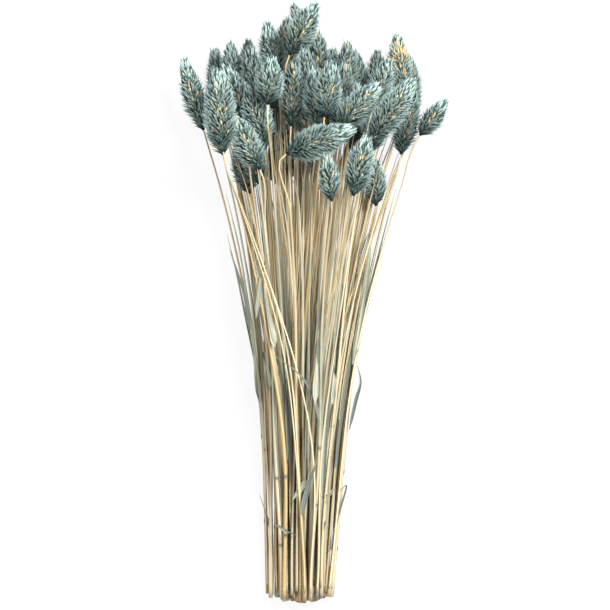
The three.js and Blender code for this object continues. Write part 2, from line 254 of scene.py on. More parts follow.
class Wiring:
    """Shorthand for wiring a procedural material."""

    def __init__(self, name: str) -> None:
        """A new material with a plain shader.

        Args:
            name: The material's name.
        """
        self.material = bpy.data.materials.new(name)
        self.material.use_nodes = True
        self.tree = self.material.node_tree
        self.shader = self.tree.nodes["Principled BSDF"]

    def add(self, kind: str, inputs: dict | None = None, **settings: object) -> bpy.types.Node:
        """A node with its settings made and its inputs set or linked.

        Args:
            kind: The node's type name without its prefix.
            inputs: Input name or number to a value, or to a socket to link from.
            settings: Attributes of the node.

        Returns:
            The node.
        """
        node = self.tree.nodes.new("ShaderNode" + kind)
        for key, value in settings.items():
            setattr(node, key, value)
        self.feed(node, inputs or {})
        return node

    def feed(self, node: bpy.types.Node, inputs: dict) -> None:
        """Sets a node's inputs, or links them from other sockets.

        Args:
            node: The node.
            inputs: Input name or number to a socket, a number, or a colour of three numbers.
        """
        for key, value in inputs.items():
            socket = node.inputs[key]
            if isinstance(value, Socket):
                self.tree.links.new(value, socket)
            elif socket.type == "RGBA":
                socket.default_value = (*value, 1.0)
            else:
                socket.default_value = value

    def mix(self, share: object, first: object, second: object, blend: Blend = Blend.MIX) -> Socket:
        """A mix of two colours or their sockets, with a share of the second."""
        inputs = {"Factor": share, 6: first, 7: second}
        return self.add("Mix", inputs, data_type="RGBA", blend_type=blend.value).outputs[2]

    def math(self, kind: Sum, first: object, second: object) -> Socket:
        """One sum of two numbers or sockets."""
        return self.add("Math", {0: first, 1: second}, operation=kind.value).outputs[0]

    def ramp(self, value: object, *stops: tuple[float, float]) -> Socket:
        """A grey ramp through stops of place and value.

        Args:
            value: The socket to look up.
            stops: Pairs of place and grey value, from low to high.

        Returns:
            The ramp's colour socket.
        """
        node = self.add("ValToRGB", {0: value})
        band = node.color_ramp.elements
        while len(band) < len(stops):
            band.new(0.5)
        for element, (place, grey) in zip(band, stops):
            element.position = place
            element.color = (grey, grey, grey, 1)
        return node.outputs[0]

    def noise(self, scale: float, detail: float = 3.0) -> Socket:
        """Noise on the piece's grain coordinates, with octaves of finer detail."""
        place = self.add("Attribute", attribute_name="grain").outputs["Vector"]
        return self.add("TexNoise", {"Vector": place, "Scale": scale, "Detail": detail}).outputs["Fac"]

    def marks(self) -> tuple[Socket, ...]:
        """The sockets of the piece's four marks."""
        source = self.add("Attribute", attribute_name="marks")
        return (*self.add("SeparateColor", {0: source.outputs["Color"]}).outputs, source.outputs["Alpha"])

    def finish(self, colour: object, roughness: float, shine: float, relief: object) -> Material:
        """Feeds the shader and gives the material.

        Args:
            colour: The colour's socket.
            roughness: The surface's roughness.
            shine: The strength of its shine.
            relief: The socket of its fine relief.

        Returns:
            The material.
        """
        self.feed(self.shader, {"Base Color": colour, "Roughness": roughness, "Specular IOR Level": shine})
        bump = self.add("Bump", {"Height": relief, "Strength": RELIEF_STRENGTH, "Distance": RELIEF})
        self.feed(self.shader, {"Normal": bump.outputs[0]})
        return self.material


@dataclass(frozen=True)
class HeadFinish:
    """Dyed bracts: dusty blue green along, pale on the margins and tips, a few left straw.

    The roots go near black as painted shade among the bracts; the pale margins and tips are partly their
    own colour and partly painted highlight. The shade factor paints shade on heads that others lie over.
    """

    # Painted shade colour for the bract roots and the core, where they sit in shade.
    root: Colour = (0.004, 0.007, 0.006)
    cool: Colour = (0.022, 0.079, 0.072)
    warm: Colour = (0.088, 0.105, 0.060)
    pale: Colour = (0.665, 0.830, 0.800)
    straw: Colour = (0.760, 0.555, 0.260)
    straw_root: Colour = (0.300, 0.160, 0.050)
    depth: float = 1.0
    roughness: float = 0.70
    shine: float = 0.22

    def material(self) -> Material:
        """The finish as a material that reads along, margin, tone and straw from the marks.

        Returns:
            The material.
        """
        wiring = Wiring(f"dyed_bracts_{round(100 * self.depth)}")
        along, margin, tone, straw = wiring.marks()
        body = wiring.mix(wiring.ramp(tone, (0.30, 0.0), (0.90, 1.0)), self.cool, self.warm)
        mottle = wiring.noise(0.8)
        body = wiring.mix(1.0, body, wiring.ramp(mottle, (0.3, 0.62), (0.7, 1.25)), Blend.TIMES)
        # Pale tips and margins: partly the bracts' own pale margins, partly painted highlight; less where
        # the tone is warm.
        tipped = wiring.math(Sum.TIMES, wiring.ramp(along, (0.50, 0.0), (0.96, 1.0)), 0.90)
        edged = wiring.math(Sum.TIMES, margin, wiring.ramp(along, (0.34, 0.0), (0.75, 0.55)))
        light = wiring.math(Sum.GREATER, tipped, edged)
        light = wiring.math(Sum.TIMES, light, wiring.ramp(tone, (0.2, 1.0), (0.9, 0.55)))
        body = wiring.mix(light, body, self.pale)
        # Painted shade: the bracts turn near black towards their roots, among the others.
        body = wiring.mix(wiring.ramp(along, (0.22, 1.0), (0.66, 0.0)), body, self.root)
        grain = wiring.mix(wiring.ramp(along, (0.10, 1.0), (0.5, 0.0)), self.straw, self.straw_root)
        colour = wiring.mix(straw, body, grain)
        # Painted shade: the colour times the shade factor, which is lower for heads that others lie over.
        colour = wiring.mix(1.0, colour, (self.depth,) * 3, Blend.TIMES)
        return wiring.finish(colour, self.roughness, self.shine, wiring.noise(3.0))


@dataclass(frozen=True)
class StrawFinish:
    """Dried stems: straw to tan, grey green in a sheath, dark at the joints, fine lines along, painted
    shade.
    """

    light: Colour = (0.650, 0.565, 0.385)
    tan: Colour = (0.530, 0.360, 0.155)
    # Dark olive brown laid on by the shade mark: painted shade, and on some stems a darker tone and darker
    # necks.
    shade: Colour = (0.050, 0.042, 0.020)
    sheath: Colour = (0.450, 0.455, 0.340)
    joint: Colour = (0.110, 0.120, 0.115)
    roughness: float = 0.5
    shine: float = 0.25

    def material(self) -> Material:
        """The finish as a material that reads tone, sheath, joint and shade from the marks.

        Returns:
            The material.
        """
        wiring = Wiring("dried_stem")
        tone, sheath, joint, shade = wiring.marks()
        colour = wiring.mix(wiring.ramp(tone, (0.35, 0.0), (0.95, 1.0)), self.light, self.tan)
        colour = wiring.mix(sheath, colour, self.sheath)
        lines = wiring.noise(1.0, 4.0)
        fine = wiring.ramp(lines, (0.30, 0.50), (0.5, 1.0), (0.72, 1.22))
        colour = wiring.mix(1.0, colour, fine, Blend.TIMES)
        patch = wiring.noise(0.35, 2.0)
        colour = wiring.mix(wiring.ramp(patch, (0.52, 0.0), (0.70, 0.22)), colour, self.sheath)
        colour = wiring.mix(joint, colour, self.joint)
        # Painted shade by the shade mark.
        colour = wiring.mix(shade, colour, self.shade)
        return wiring.finish(colour, self.roughness, self.shine, lines)


@dataclass(frozen=True)
class LeafFinish:
    """Dried leaf blades: blue grey, grey green, pale straw, or near black as painted shade; fine veins
    along.
    """

    # Near black painted shade for the blades under the heads.
    deep: Colour = (0.016, 0.024, 0.020)
    blue: Colour = (0.200, 0.232, 0.198)
    green: Colour = (0.365, 0.385, 0.288)
    pale: Colour = (0.480, 0.490, 0.375)
    straw: Colour = (0.570, 0.470, 0.275)
    roughness: float = 0.55
    shine: float = 0.35

    def material(self) -> Material:
        """The finish as a material that reads along, across and tone from the marks.

        Returns:
            The material.
        """
        wiring = Wiring("dried_leaf")
        along, across, tone, _ = wiring.marks()
        colour = self.blue
        steps = ((0.20, 0.35, self.green), (0.45, 0.60, self.pale), (0.72, 0.82, self.straw))
        for low, high, after in steps:
            colour = wiring.mix(wiring.ramp(tone, (low, 0.0), (high, 1.0)), colour, after)
        # Painted shade: a tone near 0 turns near black.
        colour = wiring.mix(wiring.ramp(tone, (0.0, 1.0), (0.03, 0.0)), colour, self.deep)
        wave = wiring.math(Sum.SINE, wiring.math(Sum.TIMES, across, 14.0), 0.0)
        colour = wiring.mix(1.0, colour, wiring.ramp(wave, (0.0, 0.72), (0.8, 1.10)), Blend.TIMES)
        streak = wiring.noise(1.0, 4.0)
        colour = wiring.mix(1.0, colour, wiring.ramp(streak, (0.3, 0.45), (0.7, 1.25)), Blend.TIMES)
        colour = wiring.mix(wiring.ramp(along, (0.80, 0.0), (1.0, 0.5)), colour, self.straw)
        return wiring.finish(colour, self.roughness, self.shine, streak)


@dataclass
class Stalk:
    """One stalk as the frame holds it: where its stem is cut, and where its head starts, points and ends."""

    layer: int
    place: int
    across: float
    cut: Array
    base: Array
    axis: Array
    length: float
    half: float
    node: str

    @property
    def number(self) -> float:
        """The stalk's own number for repeatable draws."""
        return self.layer * 20.0 + self.place

    @property
    def lean(self) -> float:
        """The share of its sideways slant that the stem has from the cut on, more to the right."""
        return 0.15 + 0.33 * self.across

    @property
    def sheath_middle(self) -> float:
        """Where along the stem its leaf sheath has its middle."""
        return 0.38 + 0.24 * self.draw(0.25)

    def draw(self, offset: float) -> float:
        """One of the stalk's own draws, from 0 to 1."""
        return float(draw(self.number + offset))


def read_stalks() -> list[Stalk]:
    """The stalks, read from the frame's own solids.

    A head's axis runs from the middle of its base ring to its farthest point. The cut ends of a layer are
    the rings of five points at the near end of its sheaf, from left to right.

    Returns:
        The stalks by layer, from the floor up, and by place, from left to right.
    """
    stalks: list[Stalk] = []
    for layer in range(LAYERS):
        names = sorted(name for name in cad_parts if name.startswith(f"head_{layer + 1}_"))
        sheaf = node_points(f"stems_{layer + 1}")
        rings = sheaf[sheaf[:, 1] < sheaf[:, 1].min() + NEAR_END]
        rings = rings[np.argsort(rings[:, 0])].reshape(len(names), -1, 3)
        for place, name in enumerate(names):
            points = node_points(name)
            main = np.linalg.svd(points - points.mean(0), full_matrices=False)[2][0]
            main = main if main[1] > 0 else -main
            along = points @ main
            base = points[along < along.min() + BASE_RING].mean(0)
            peak = points[along.argmax()]
            axis = unit(peak - base)
            off = points - base
            half = float(np.linalg.norm(off - np.outer(off @ axis, axis), axis=1).max())
            length = float(np.linalg.norm(peak - base))
            across = (place + 0.5) / len(names) - 0.5
            stalks.append(Stalk(layer, place, across, rings[place].mean(0), base, axis, length, half, name))
    return stalks


def covered(stalks: list[Stalk]) -> Array:
    """Which heads lie under others: those with at least two higher heads close by in plan.

    Args:
        stalks: The stalks.

    Returns:
        True for each covered head.
    """
    middle = np.array([s.base + 0.5 * s.length * s.axis for s in stalks])
    apart = np.linalg.norm(middle[:, None, :2] - middle[None, :, :2], axis=-1)
    higher = middle[None, :, 2] > middle[:, None, 2] + CLEARLY_HIGHER
    return ((apart < CLOSE_BY) & higher).sum(1) >= 2


@dataclass
class StemShape:
    """The line and thickness of the stems, as in the solids."""

    butt: float = 1.6 * MM
    neck: float = 0.58 * MM
    sheath: float = 0.24 * MM
    sheath_reach: float = 0.17
    joint: float = 0.28 * MM
    joint_reach: float = 0.0045
    bow_power: float = 2.3
    height_lean: float = 0.85
    neck_share: float = 0.12
    gap: float = 0.35 * MM
    wiggle: float = 0.6 * MM
    wiggle_axes: Triple = (1.7, 0.0, 0.25)
    layer_wiggle: float = 0.35
    wiggle_wave: float = 8.0
    joint_apart: float = 0.13
    joint_spread: float = 0.06
    joint_stations: tuple[float, ...] = (-2.2, -1.1, 0.0, 1.1, 2.2)
    taper: float = 1.5

    def line(self, stalk: Stalk, t: Array) -> Array:
        """Points of a stem's line at shares t of the way up.

        The line leaves the cut nearly straight, bows out as a power of the way up, and at the neck turns
        into the head's own axis by a term that dies away below it. A slow sine makes it uneven low down.

        Args:
            stalk: The stalk.
            t: Shares of the way up, from 0 at the cut to 1 at the head.

        Returns:
            One point for each share.
        """
        chord = stalk.base - self.gap * stalk.axis - stalk.cut
        rest = np.array([1 - stalk.lean, 0.0, 1 - self.height_lean])
        arriving = chord + chord * rest * (self.bow_power - 1)
        turn = stalk.axis * np.linalg.norm(arriving) - arriving
        t = np.asarray(t, float)[..., None]
        share = (1 - rest) * t + rest * t**self.bow_power
        bent = np.clip((t - 1 + self.neck_share) / self.neck_share, 0, None)
        reach = self.wiggle * (1 + self.layer_wiggle * stalk.layer)
        wave = np.sin(self.wiggle_wave * t + 3 * stalk.number)
        sway = reach * (1 - t) * wave * np.array(self.wiggle_axes)
        return stalk.cut + chord * share + turn * (t - 1) * bent**2 + sway

    def blend(self, first: Stalk, second: Stalk, t: Array, share: Array) -> Array:
        """Points of a line between two stalks' lines, at given shares of the second."""
        share = share[:, None]
        return self.line(first, t) * (1 - share) + self.line(second, t) * share

    def joints(self, stalk: Stalk) -> tuple[float, float]:
        """Where the stem's two joints are, the upper one at the foot of its sheath."""
        foot = stalk.sheath_middle - self.sheath_reach
        return foot, foot - self.joint_apart - self.joint_spread * stalk.draw(0.4)

    def stations(self, stalk: Stalk, count: int) -> Array:
        """Shares of the way up for rings, from low to high: even ones, and close ones over each joint."""
        close = [joint + np.array(self.joint_stations) * self.joint_reach for joint in self.joints(stalk)]
        return np.sort(np.concatenate([np.linspace(0.0, 1.0, count), *close]))

    def radius(self, stalk: Stalk, t: Array) -> tuple[Array, Array, Array]:
        """The stem's radius, and how much it is wrapped by a sheath or swollen at a joint.

        The bare stem tapers by a power of the way down. A sheath adds a smooth step up and one down, and
        each joint adds a bell curve.

        Args:
            stalk: The stalk.
            t: Shares of the way up.

        Returns:
            The radius, the sheath's share and the joint's share at each t.
        """
        foot, lower = self.joints(stalk)
        top = stalk.sheath_middle + self.sheath_reach
        wrapped = smooth(foot - 0.004, foot + 0.006, t) * (1 - smooth(top - 0.05, top, t))
        joint = sum(np.exp(-(((t - place) / self.joint_reach) ** 2)) for place in (foot, lower))
        bare = self.neck + (self.butt - self.neck) * (1 - t) ** self.taper
        return bare + self.sheath * wrapped + self.joint * joint, wrapped, joint


class Growth:
    """What the sub-assemblies of the bunch share: each is built as one piece and then dressed."""

    def dress(self, piece: Object, material: Material) -> None:
        """Gives the built piece its finish."""
        piece.data.materials.append(material)
        LOG.info("%s is dressed in %s", piece.name, material.name)


@dataclass
class Seats:
    """Where a head's bracts sit: draw number, height, angle, 1 if upright, and share of straw for each."""

    seed: Array
    level: Array
    angle: Array
    upright: Array
    straw: Array


@dataclass
class SeedHead(Growth):
    """A dense egg-shaped head of keeled, pointed bracts over a core painted near black as shade.

    Each point of a bract's section says how far it lies across, how far out, and how much it is a margin.
    """

    stalk: Stalk
    straw_top: bool = False
    bract_length: float = 6.4 * MM
    bract_half: float = 0.77 * MM
    core_share: float = 0.56
    core_skin: float = 0.4 * MM
    core_top: float = 0.96
    body_share: float = 0.70
    bracts_per_area: float = 0.41 / MM**2
    least_girth: float = 0.05
    highest_root: float = 0.93
    tip_past: float = 7.0 * MM
    grain_size: float = 2 * MM
    stations: tuple[float, ...] = (0.32, 0.68)
    section: tuple[Triple, ...] = ((-1.0, 0.0, 1.0), (0.0, 0.6, 0.0), (1.0, 0.0, 1.0), (0.0, -0.3, 0.3))
    spread_share: float = 0.5
    core_rings: int = 15
    core_sides: int = 12

    def outline(self, u: Array) -> Array:
        """The half width at shares u of the length: a root of a sine of a power of u, drawn in at both ends.

        Args:
            u: Shares of the head's length.

        Returns:
            The half width at each.
        """
        full = np.sqrt(np.sin(np.pi * np.clip(u, 0.004, 0.985) ** 0.8))
        drawn = (0.48 + 0.52 * smooth(0.0, 0.34, u)) * (1 - 0.14 * smooth(0.6, 1.0, u))
        return self.stalk.half * full * drawn

    def place(self, radius: Array, angle: Array, height: Array) -> Array:
        """Points from a radius and an angle about the head's axis and a height along it.

        Args:
            radius: Distances from the axis.
            angle: Angles about it, zero to the side and a quarter turn to the top.
            height: Distances along it from the base.

        Returns:
            The points, in metres.
        """
        axis = self.stalk.axis
        side = unit(np.cross(axis, [0.0, 0.0, 1.0]))
        ring = np.cos(angle)[..., None] * side + np.sin(angle)[..., None] * np.cross(side, axis)
        return self.stalk.base + radius[..., None] * ring + height[..., None] * axis

    @property
    def shares(self) -> Array:
        """Shares of the way along a bract where it has points, from root to tip."""
        return np.array([0.0, *self.stations, 1.0])

    @cached_property
    def seats(self) -> Seats:
        """Seats on a golden-angle spiral, as many to each height as the girth there asks for.

        Returns:
            The seats of all the bracts.
        """
        stalk = self.stalk
        fine = np.linspace(0.0, 1.0, 400)
        girth = np.cumsum(self.outline(fine) + self.least_girth * stalk.half)
        count = int(2 * np.pi * stalk.length * float(self.outline(fine).mean()) * self.bracts_per_area)
        order = np.arange(count)
        seed = order + 1000.0 * stalk.number
        level = np.interp((order + 0.5) / count * girth[-1], girth, fine)
        angle = order * GOLDEN_ANGLE + stalk.number + 0.5 * (draw(seed) - 0.5)
        upright = (draw(seed + 0.85) < self.spread_share).astype(float)
        return Seats(seed, level, angle, upright, self.straw_share(level, angle, seed))

    def midlines(self) -> tuple[Array, Array, Array]:
        """The bracts' midlines, which leave the core and climb outward to their tips.

        A midline's radius goes from just inside the core to a share of the head's outline and a stand-off
        that grows with s. Upright bracts stand far off and climb evenly; the others lie along the outline.

        Returns:
            Radius, angle and height about the head's axis, a row for each bract.
        """
        s = self.shares
        seats = self.seats
        seed = seats.seed
        length = self.stalk.length
        crown = smooth(0.62, 0.95, seats.level)
        reach = self.bract_length * (0.75 + 0.5 * draw(seed + 0.3)) * (1 + 0.5 * crown) / length
        root = np.clip(seats.level - 0.5 * reach, 0.0, self.highest_root)
        tip = np.minimum(root + reach, 1.0 + self.tip_past / length * draw(seed + 0.7) ** 2)
        stand = 0.3 + 0.9 * draw(seed + 0.35) + seats.upright * (2.0 + 2.6 * draw(seed + 0.5))
        stand = stand * MM * (1 - 0.4 * crown)
        level = root[:, None] + (tip - root)[:, None] * s
        inner = self.core_share * 0.9 * self.outline(root)[:, None]
        outer = self.body_share * self.outline(level) + stand[:, None] * s
        upright = seats.upright[:, None]
        climb = upright * s + (1 - upright) * smooth(-0.25, 0.85, s)
        swing = seats.angle[:, None] + 0.3 * (draw(seed + 0.9) - 0.5)[:, None] * s
        return inner + (outer - inner) * climb, swing, level * length

    def shells(self) -> Array:
        """Points of the bracts as closed, keeled, pointed shells.

        Across the midline, a ring of four points makes two margins, a raised keel and an inner face; the
        ring's width is a power of s times a power of 1 - s.

        Returns:
            For each bract a row of points: its root, its rings and its tip.
        """
        s = self.shares
        seats = self.seats
        radius, swing, height = self.midlines()
        middle = self.place(radius, swing, height)
        along = unit(np.gradient(middle, axis=1))
        outward = unit(self.place(radius + MM, swing, height) - middle)
        across = unit(np.cross(outward, along))
        keel = np.cross(along, across)
        shape = s**0.6 * (1 - s) ** 0.75
        wide = self.bract_half * (0.75 + 0.5 * draw(seats.seed + 0.2)) * (1 - 0.2 * seats.straw)
        half = wide[:, None] * shape / shape.max()
        sides = [middle + half[..., None] * (a * across + b * keel) for a, b, _ in self.section]
        rings = np.stack(sides, axis=2)[:, 1:-1].reshape(len(middle), -1, 3)
        return np.concatenate([middle[:, :1], rings, middle[:, -1:]], axis=1)

    def marks(self) -> Array:
        """Marks of along, margin, tone and straw for the shells' points.

        Bracts that lie flat or sit low count as less far along: painted shade, save at the foot.

        Returns:
            Four marks for each point of each bract.
        """
        seats = self.seats
        level = seats.level
        lifted = 0.42 * (1 - smooth(0.0, 0.18, level))[:, None]
        # Painted shade: lying and low bracts count as less far along, so darker; lifted lightens the foot
        # again.
        foot = ((0.76 + 0.24 * smooth(0.05, 0.42, level)) * (0.7 + 0.3 * seats.upright))[:, None]
        along = np.concatenate([[0.0], np.repeat(self.stations, len(self.section)), [1.0]])
        margin = np.tile([m for *_, m in self.section], len(self.stations))
        facing = np.clip(np.sin(seats.angle), 0, 1) ** 2 * np.sin(np.pi * level)
        marks = np.empty((len(level), len(along), 4))
        marks[..., 0] = np.maximum(along * foot, lifted)
        marks[..., 1] = np.concatenate([[0.0], margin, [0.6]])
        marks[..., 2] = (0.55 * draw(seats.seed + 0.61) + 0.45 * facing)[:, None]
        marks[..., 3] = seats.straw[:, None]
        return marks

    def bracts(self) -> Surface:
        """All the bracts of the head as one surface."""
        points = self.shells().reshape(-1, 3)
        return Surface(points, self.bract_triangles(), self.marks().reshape(-1, 4), points / self.grain_size)

    def straw_share(self, level: Array, angle: Array, seed: Array) -> Array:
        """Which bracts kept their straw colour: some on the side that faces up, and many in one head's top.

        Args:
            level: The bracts' heights as shares of the head.
            angle: Their angles about its axis.
            seed: Their numbers for draws.

        Returns:
            The share of straw colour in each bract, from 0 to 1.
        """
        facing = np.clip(np.sin(angle), 0, 1) ** 8 * smooth(0.12, 0.5, level)
        chance = 0.006 + 0.10 * facing * (0.35 + 0.9 * self.stalk.draw(0.77))
        straw = (draw(seed + 0.13) < chance).astype(float)
        if self.straw_top:
            upper = (np.abs(level - 0.72) < 0.22 * draw(seed + 0.44)) & (draw(seed + 0.27) < 0.7)
            straw = np.maximum(straw, 0.7 * upper)
        return straw

    def bract_triangles(self) -> Array:
        """Triangles of the bracts, each with a root point, rings of points and a tip point, facing outward.

        Returns:
            The triangles, one row each.
        """
        rings, sides = len(self.stations), len(self.section)
        side = np.arange(sides)
        after = (side + 1) % sides
        foot = np.stack([np.zeros(sides, int), 1 + after, 1 + side], -1)
        last = 1 + (rings - 1) * sides
        peak = np.stack([last + side, last + after, np.full(sides, last + sides)], -1)
        one = np.concatenate([foot, 1 + ring_walls(rings, sides), peak])[:, ::-1]
        starts = np.arange(len(self.seats.seed)) * (rings * sides + 2)
        return (one[None] + starts[:, None, None]).reshape(-1, 3)

    def core(self) -> Surface:
        """The core under the bracts, near black as painted shade: the outline drawn in and turned about the
        axis.

        Returns:
            The core's surface.
        """
        u = np.linspace(0.0, self.core_top, self.core_rings)
        turn = -2 * np.pi * np.arange(self.core_sides) / self.core_sides
        level, angle = np.meshgrid(u, turn, indexing="ij")
        radius = self.core_share * self.outline(level) + self.core_skin
        points = self.place(radius, angle, level * self.stalk.length).reshape(-1, 3)
        marks = np.tile([0.0, 0.0, 0.2, 0.0], (len(points), 1))
        triangles = tube_triangles(self.core_rings, self.core_sides)
        return Surface(points, triangles, marks, points / self.grain_size)

    def build(self) -> Object:
        """The whole head as one piece in place of its solid."""
        whole = joined([self.bracts(), self.core()])
        return whole.piece("bracts", self.stalk.node, Slot.HEAD, False)


@dataclass
class StemLine:
    """One stem to be drawn: its points, its radius, and its marks of tone, sheath, joint and shade."""

    points: Array
    radius: Array
    marks: Array
    number: float


@dataclass
class StemSheaf(Growth):
    """The stems of one layer: those that carry heads, and thinner ones that lie between them."""

    layer: int
    stalks: list[Stalk]
    above: list[Stalk]
    shape: StemShape = field(default_factory=StemShape)
    rings: int = 46
    filler_rings: int = 56
    sides: int = 8
    fillers: int = 6
    level_fillers: int = 4
    filler_top: float = 0.965
    crossers: int = 10
    thin: float = 0.42
    crosser_top: float = 0.97
    deep_layers: int = 2
    deep_thicker: float = 1.25
    open_edge: int = 1
    depth_shade: float = 0.62
    grain_around: float = 1.6
    grain_along: float = 9.0
    grain_apart: float = 7.3

    def bearing(self) -> Iterator[StemLine]:
        """The stems that carry heads.

        Yields:
            One stem for each stalk.
        """
        for stalk in self.stalks:
            t = self.shape.stations(stalk, self.rings)
            radius, wrapped, joint = self.shape.radius(stalk, t)
            sheathed = 0.85 * wrapped * (stalk.draw(0.55) < 0.4)
            green = 0.8 * float(stalk.draw(0.33) < 0.12)
            tone = stalk.draw(0.81) * np.ones_like(t)
            dark = np.clip(joint, 0, 1) * (stalk.draw(0.66) < 0.65)
            # Painted shade on the middle stems of the lower layers, fading up the stem; own is a random
            # darker tone.
            deep = self.depth_shade * (1 - self.layer / LAYERS) * (1 - 4 * stalk.across**2)
            own = 0.3 * stalk.draw(0.47) ** 3
            outer = float(smooth(0.25, 0.5, abs(stalk.across)))
            shade = own + deep * (1 - 0.8 * smooth(0.40, 0.80, t))
            shade = shade + (0.10 + 0.2 * outer) * smooth(0.5, 1.0, t) + 0.10 * (1 - smooth(0.15, 0.5, t))
            marks = np.stack([tone, np.maximum(sheathed, green), dark, shade], -1)
            yield StemLine(self.shape.line(stalk, t), radius, marks, stalk.number)

    def between(self) -> Iterator[StemLine]:
        """Thin stems between bearing ones of one layer or two: each mixes two lines by drifting shares.

        Yields:
            The stems.
        """
        count = len(self.stalks)
        deep = self.layer < self.deep_layers
        for turn in range(self.fillers):
            for place in range(self.open_edge, count - 1 - self.open_edge):
                number = 300.0 + 40 * self.layer + 17.3 * turn + place
                foot = 0.005 + 0.03 * float(draw(number + 0.15))
                t = np.linspace(foot, self.filler_top, self.filler_rings)
                first = self.stalks[place]
                rising = turn >= self.level_fillers and bool(self.above)
                second = self.stalks[min(place + 1 + int(2.4 * draw(number)), count - 1)]
                if rising:
                    second = min(self.above, key=lambda stalk: abs(stalk.across - first.across))
                low, high = 0.35 + 0.3 * draw(number + 0.2), 0.15 + 0.7 * draw(number + 0.4)
                points = self.shape.blend(first, second, t, low + (high - low) * t)
                lift = 3.0 * t * (draw(number + 0.6) - 0.3)
                if not rising:
                    lift = lift + 2.05 * (1 - 2 * (turn % 2)) * (1 - t)
                points[:, 2] = np.maximum(points[:, 2] + lift * MM, 0.9 * MM)
                thick = self.thin + 0.22 * draw(number + 0.8) + 0.65 * (1 - t) ** 2
                thick = thick * (self.deep_thicker if deep else 1.0)
                radius = thick * (1 - 0.7 * smooth(0.86, 0.97, t)) * MM
                green = 0.8 * float(draw(number + 0.7) < 0.3)
                marks = np.tile([float(draw(number + 0.5)), green, 0.0, 0.0], (len(t), 1))
                # Painted shade: more in the middle of the sheaf, by the filler's own shade, and near black
                # under the heads.
                inner = 1 - (2 * (place + 0.5) / count - 1) ** 2
                own = self.filler_shade(turn % 2 == 0 and not deep, number, t)
                marks[:, 3] = np.clip(inner * (own + 0.8 * smooth(0.84, 0.96, t)), 0, 1)
                yield StemLine(points, radius, marks, number)

    @staticmethod
    def filler_shade(pale: bool, number: float, t: Array) -> Array:
        """Painted shade of a filler: little over the layer, much low down under it or in the lowest layers.

        Args:
            pale: Whether it lies over the layer, with little painted shade.
            number: Its number for draws.
            t: Shares of the way up.

        Returns:
            The painted shade at each t.
        """
        if pale:
            return 0.14 * draw(number + 0.95) + 0.22 * (1 - t)
        deep = 0.72 + 0.24 * smooth(0.0, 0.2, t) - 0.80 * smooth(0.15, 0.85, t)
        return deep * (0.35 + 1.1 * draw(number + 0.37))

    def crossing(self) -> Iterator[StemLine]:
        """Thin pale stems over the layer: each goes from one stalk's cut to another's neck by a smooth step.

        Yields:
            The stems.
        """
        last = len(self.stalks) - 1
        t = np.linspace(0.02, self.crosser_top, self.filler_rings)
        for turn in range(int(self.crossers * (last + 1) / 8)):
            number = 900.0 + 30 * self.layer + 1.7 * turn
            start = int(draw(number) * (last + 1))
            away = (1 + int(2 * draw(number + 0.2))) * (1 if draw(number + 0.3) < 0.5 else -1)
            first, second = self.stalks[start], self.stalks[min(max(start + away, 0), last)]
            share = smooth(0.1 + 0.2 * float(draw(number + 0.4)), self.crosser_top, t)
            points = self.shape.blend(first, second, t, share)
            points[:, 2] += (1.8 + 1.6 * draw(number + 0.6)) * (1 - smooth(0.8, self.crosser_top, t)) * MM
            radius = (self.thin + 0.14 * draw(number + 0.8) + 0.24 * (1 - t)) * MM
            marks = np.tile([float(draw(number + 0.5)), 0.0, 0.0, 0.0], (len(t), 1))
            marks[:, 3] = 0.40 * smooth(0.70, 1.0, t)
            yield StemLine(points, radius, marks, number)

    def tube(self, stem: StemLine) -> Surface:
        """A round tapered tube: a circle of the stem's radius across its line, at each point of it.

        Args:
            stem: The stem.

        Returns:
            The tube.
        """
        turn = -2 * np.pi * np.arange(self.sides) / self.sides
        _, side, over = frames_along(stem.points)
        ring = np.cos(turn)[None, :, None] * side[:, None] + np.sin(turn)[None, :, None] * over[:, None]
        points = stem.points[:, None] + stem.radius[:, None, None] * ring
        grain = np.empty_like(points)
        grain[..., 0] = self.grain_around * np.cos(turn)
        grain[..., 1] = self.grain_around * np.sin(turn) + self.grain_apart * stem.number
        grain[..., 2] = self.grain_along * stem.points[:, None, 1]
        marks = np.repeat(stem.marks, self.sides, axis=0)
        triangles = tube_triangles(len(points), self.sides)
        return Surface(points.reshape(-1, 3), triangles, marks, grain.reshape(-1, 3))

    def build(self) -> Object:
        """All the stems of the layer as one piece, in place of the layer's solid."""
        whole = joined([self.tube(stem) for stem in (*self.bearing(), *self.between(), *self.crossing())])
        return whole.piece("stalks", f"stems_{self.layer + 1}", Slot.STRAW, True)


@dataclass
class LeafLine:
    """One leaf blade: the points it runs through, its width, its turn about its line, and its tone."""

    layer: int
    points: Array
    width: float
    twist: float
    tone: float


